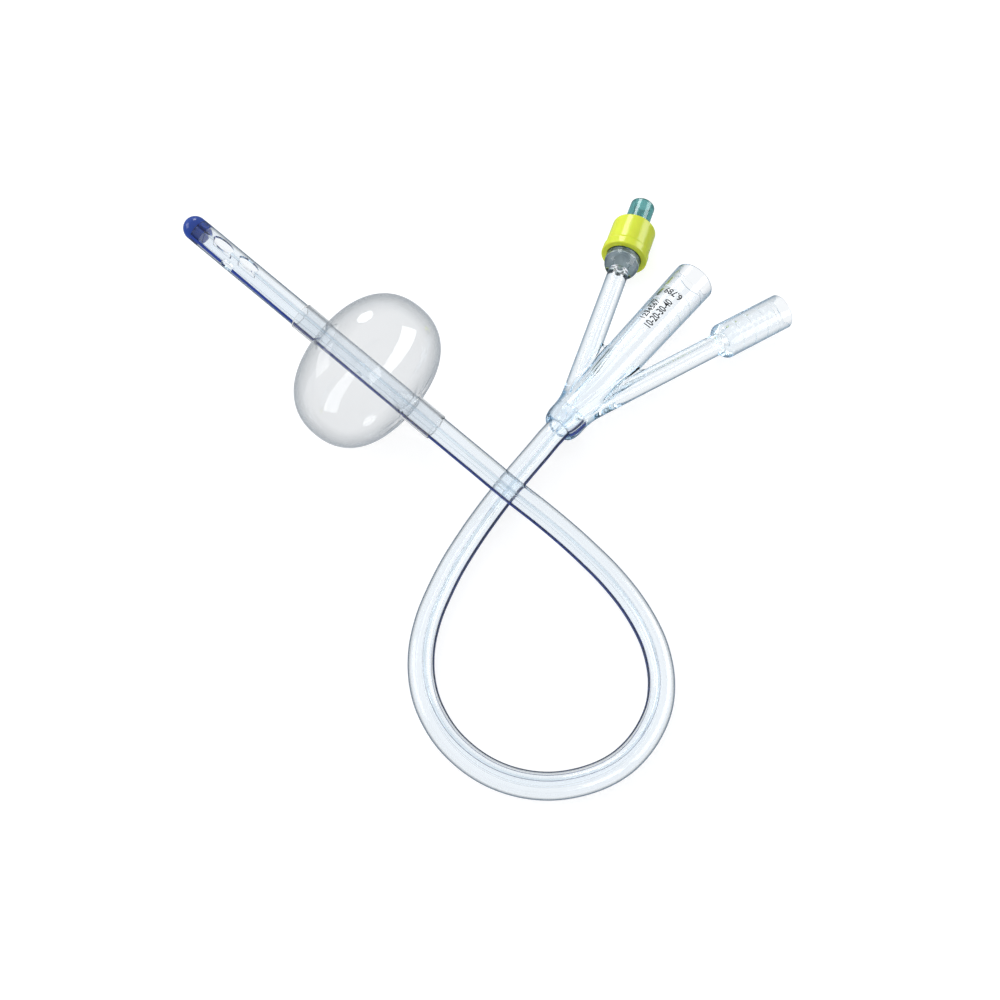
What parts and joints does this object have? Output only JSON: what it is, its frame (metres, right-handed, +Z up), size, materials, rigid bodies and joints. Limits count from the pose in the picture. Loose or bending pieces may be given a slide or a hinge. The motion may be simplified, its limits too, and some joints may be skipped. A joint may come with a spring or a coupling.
{
  "type": "foley urinary catheter",
  "caption": "Three-way silicone urinary catheter with a filled retention balloon, a drainage funnel, an irrigation connector and a sprung inflation valve.",
  "frame": {"origin": "on the floor under the middle of the whole part's box, as it lies with its shaft in one loop", "axes": "+Z up, +Y along the drainage funnel towards its mouth, +X across the three arms towards the irrigation connector"},
  "size_m": [0.1606, 0.1498, 0.0388],
  "materials": {
    "clear_silicone": "clear, glossy silicone",
    "clear_balloon": "clear, glossy thin silicone",
    "navy_stripe": "satin radiopaque silicone",
    "blue_silicone": "glossy, slightly see-through silicone",
    "lime_plastic": "moulded, satin gloss",
    "teal_plastic": "see-through, glossy",
    "grey_teal_plastic": "see-through, glossy",
    "white_plastic": "moulded, matt",
    "black_rubber": "matt",
    "spring_steel": "drawn wire"
  },
  "bodies": {
    "catheter": {"shaft_tube": "clear_silicone", "radiopaque_stripe": "navy_stripe", "radiopaque_stripe_tip": "navy_stripe", "tip_plug": "blue_silicone", "balloon": "clear_balloon", "funnel_moulding": "clear_silicone", "valve_collar": "lime_plastic", "valve_body": "teal_plastic", "valve_base": "grey_teal_plastic", "valve_spring": "spring_steel"},
    "valve_stem": {"valve_stem": "white_plastic", "valve_seal": "black_rubber"}
  },
  "joints": [
    {"name": "valve_stem_slide", "type": "slide", "parent": "catheter", "child": "valve_stem", "axis": [0.3453, -0.9385, 0], "range_m": [0, 0.0015], "stiffness_N_per_m": 300, "springref_m": -0.0015, "deforming": ["valve_spring"]}
  ]
}
